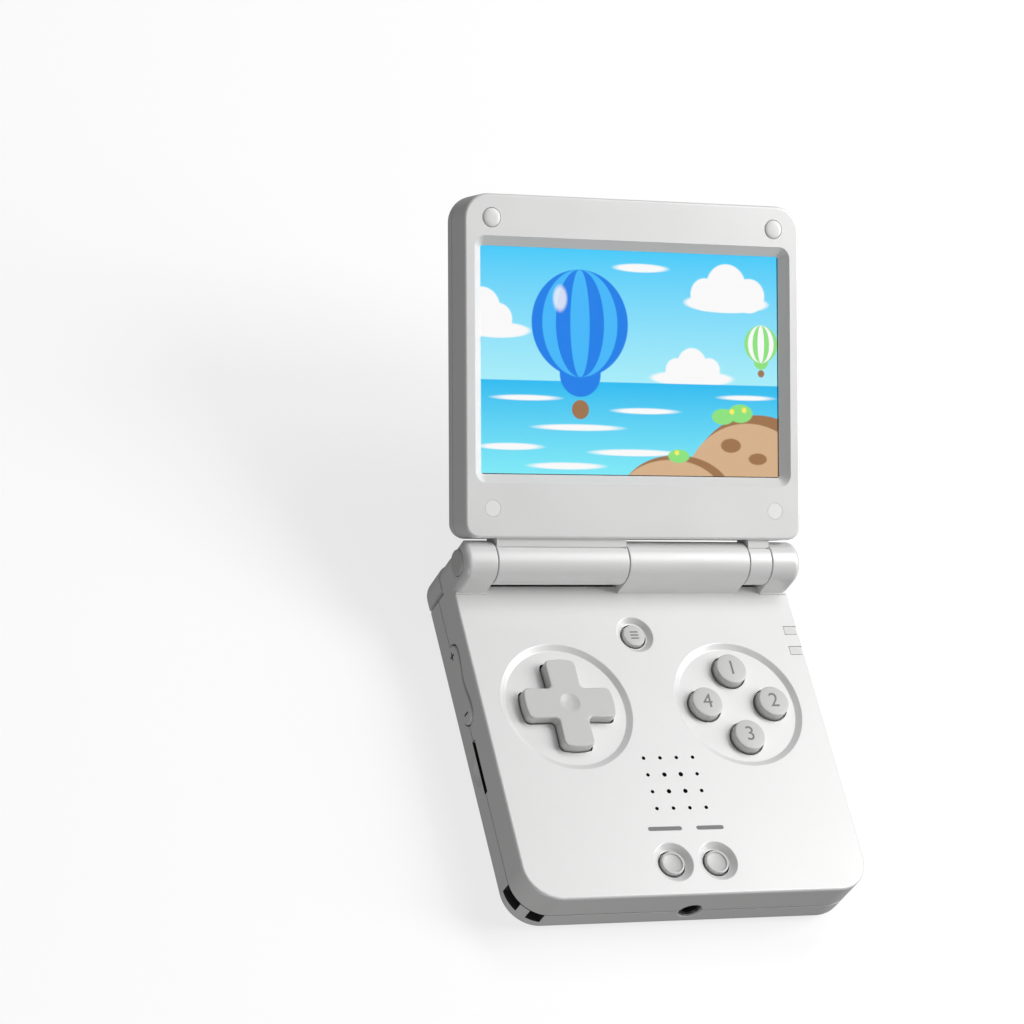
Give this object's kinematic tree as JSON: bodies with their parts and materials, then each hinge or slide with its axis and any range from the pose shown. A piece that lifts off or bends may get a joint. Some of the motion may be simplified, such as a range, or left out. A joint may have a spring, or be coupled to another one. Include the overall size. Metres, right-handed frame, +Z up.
{
  "type": "clamshell handheld game console",
  "caption": "Pocket clamshell game console: a hinged lid with a display folds over a control base with a cross pad, round buttons and rear shoulder buttons.",
  "frame": {"origin": "centre of the base's flat underside", "axes": "+X to the player's right along the hinge, +Y from the front edge to the hinge, +Z up through the base's face; the lid is stored at its full opening"},
  "size_m": [0.0859, 0.1543, 0.065],
  "materials": {
    "housing": "satin silver-white paint on moulded plastic",
    "key": "light warm grey moulded plastic",
    "steel": "plain steel",
    "dark_screw": "blackened steel",
    "board": "green glass-fibre board",
    "battery_wrap": "dark film wrap",
    "black_plastic": "black moulded plastic",
    "membrane": "milky silicone rubber",
    "light_window": "clear grey light window",
    "lens": "clear cover lens",
    "picture": "lit display panel",
    "bumper": "soft grey rubber",
    "badge_metal": "bright ring",
    "badge_dark": "dark bare plate",
    "cable": "amber flexible printed cable"
  },
  "bodies": {
    "base": {"base_top_shell": "housing", "base_bottom_shell": "housing", "base_screw_1": "dark_screw", "base_screw_2": "dark_screw", "base_screw_3": "dark_screw", "base_screw_4": "dark_screw", "hinge_end_cap_left": "housing", "hinge_end_cap_right": "housing", "hinge_shaft": "steel", "hinge_pin": "steel", "mainboard": "board", "battery": "battery_wrap", "speaker": "black_plastic", "dpad_membrane": "membrane", "face_button_membrane": "membrane", "start_select_membrane": "membrane", "usb_c_port": "steel", "video_port": "steel", "headphone_jack": "black_plastic", "card_socket_left": "steel", "card_socket_right": "steel", "status_light_rear": "light_window", "status_light_front": "light_window"},
    "lid": {"lid_front_shell": "housing", "lid_back_shell": "housing", "display_lens": "lens", "display_panel": "picture", "display_backing": "steel", "lid_bumper_left": "bumper", "lid_bumper_right": "bumper", "screw_cover_left": "housing", "screw_cover_right": "housing", "lid_screw_1": "dark_screw", "lid_screw_2": "dark_screw", "lid_screw_3": "dark_screw", "lid_screw_4": "dark_screw", "closing_magnet": "steel", "badge_ring": "badge_metal", "badge_plate": "badge_dark", "hinge_cartridge": "steel", "display_cable": "cable"},
    "dpad_pivot": {"dpad_pivot": "steel"},
    "dpad": {"dpad": "key"},
    "button_x": {"button_x": "key"},
    "button_a": {"button_a": "key"},
    "button_b": {"button_b": "key"},
    "button_y": {"button_y": "key"},
    "menu_button": {"menu_button": "key"},
    "select_button": {"select_button": "key"},
    "start_button": {"start_button": "key"},
    "volume_rocker": {"volume_rocker": "housing"},
    "power_button": {"power_button": "housing"},
    "reset_button": {"reset_button": "housing"},
    "shoulder_l1": {"shoulder_l1": "housing"},
    "shoulder_l2": {"shoulder_l2": "housing"},
    "shoulder_r1": {"shoulder_r1": "housing"},
    "shoulder_r2": {"shoulder_r2": "housing"}
  },
  "joints": [
    {"name": "lid_hinge", "type": "hinge", "parent": "base", "child": "lid", "pos_m": [0, 0.03785, 0.0201], "axis": [1, 0, 0], "range_deg": [0, 150]},
    {"name": "dpad_up_down", "type": "hinge", "parent": "base", "child": "dpad_pivot", "pos_m": [-0.0216, 0.00395, 0.0113], "axis": [1, 0, 0], "range_deg": [-3.5, 3.5], "stiffness_Nm_per_rad": 0.12},
    {"name": "dpad_left_right", "type": "hinge", "parent": "dpad_pivot", "child": "dpad", "pos_m": [-0.0216, 0.00395, 0.0113], "axis": [0, 1, 0], "range_deg": [-3.5, 3.5], "stiffness_Nm_per_rad": 0.12},
    {"name": "button_x_press", "type": "slide", "parent": "base", "child": "button_x", "axis": [0, 0, -1], "range_m": [0, 0.0012], "stiffness_N_per_m": 400},
    {"name": "button_a_press", "type": "slide", "parent": "base", "child": "button_a", "axis": [0, 0, -1], "range_m": [0, 0.0012], "stiffness_N_per_m": 400},
    {"name": "button_b_press", "type": "slide", "parent": "base", "child": "button_b", "axis": [0, 0, -1], "range_m": [0, 0.0012], "stiffness_N_per_m": 400},
    {"name": "button_y_press", "type": "slide", "parent": "base", "child": "button_y", "axis": [0, 0, -1], "range_m": [0, 0.0012], "stiffness_N_per_m": 400},
    {"name": "menu_button_press", "type": "slide", "parent": "base", "child": "menu_button", "axis": [0, 0, -1], "range_m": [0, 0.0007], "stiffness_N_per_m": 400},
    {"name": "select_button_press", "type": "slide", "parent": "base", "child": "select_button", "axis": [0, 0, -1], "range_m": [0, 0.0007], "stiffness_N_per_m": 400},
    {"name": "start_button_press", "type": "slide", "parent": "base", "child": "start_button", "axis": [0, 0, -1], "range_m": [0, 0.0007], "stiffness_N_per_m": 400},
    {"name": "volume_tilt", "type": "hinge", "parent": "base", "child": "volume_rocker", "pos_m": [-0.0409, 0.01345, 0.008], "axis": [0, 0, 1], "range_deg": [-2.3, 2.3], "stiffness_Nm_per_rad": 0.06},
    {"name": "power_button_press", "type": "slide", "parent": "base", "child": "power_button", "axis": [-1, 0, 0], "range_m": [0, 0.0005], "stiffness_N_per_m": 400},
    {"name": "reset_button_press", "type": "slide", "parent": "base", "child": "reset_button", "axis": [-1, 0, 0], "range_m": [0, 0.0005], "stiffness_N_per_m": 400},
    {"name": "l1_press", "type": "hinge", "parent": "base", "child": "shoulder_l1", "pos_m": [-0.0338, 0.04175, 0], "axis": [0, 0, 1], "range_deg": [0, 3.5], "stiffness_Nm_per_rad": 0.08},
    {"name": "r1_press", "type": "hinge", "parent": "base", "child": "shoulder_r1", "pos_m": [0.0338, 0.04175, 0], "axis": [0, 0, -1], "range_deg": [0, 3.5], "stiffness_Nm_per_rad": 0.08},
    {"name": "l2_press", "type": "slide", "parent": "base", "child": "shoulder_l2", "axis": [0, -1, 0], "range_m": [0, 0.0006], "stiffness_N_per_m": 400},
    {"name": "r2_press", "type": "slide", "parent": "base", "child": "shoulder_r2", "axis": [0, -1, 0], "range_m": [0, 0.0006], "stiffness_N_per_m": 400}
  ]
}
